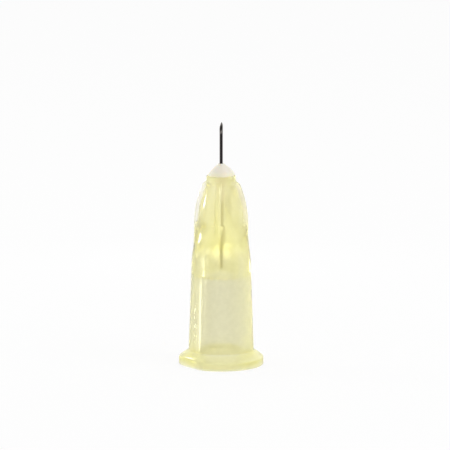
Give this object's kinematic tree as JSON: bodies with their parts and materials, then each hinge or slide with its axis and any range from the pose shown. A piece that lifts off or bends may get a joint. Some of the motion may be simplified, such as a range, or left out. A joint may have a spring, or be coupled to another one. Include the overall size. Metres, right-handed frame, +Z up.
{
  "type": "mesotherapy needle",
  "caption": "Short fine injection needle with a ground steel tube, a clear yellow hub with a cone socket and lock lugs, and a bead of adhesive.",
  "frame": {"origin": "centre of the hub's base rim, on the plane that the needle stands on", "axes": "+Z up along the steel tube to its point, +X over a lock lug, +Y out of a flat of the rim"},
  "size_m": [0.0078, 0.007, 0.0226],
  "materials": {
    "clear_yellow_plastic": "glossy moulded, translucent",
    "ground_steel": "drawn tube with a ground point",
    "cured_adhesive": "smooth, milky"
  },
  "bodies": {
    "root": {"hub": "clear_yellow_plastic", "cannula": "ground_steel", "adhesive": "cured_adhesive"}
  },
  "joints": []
}
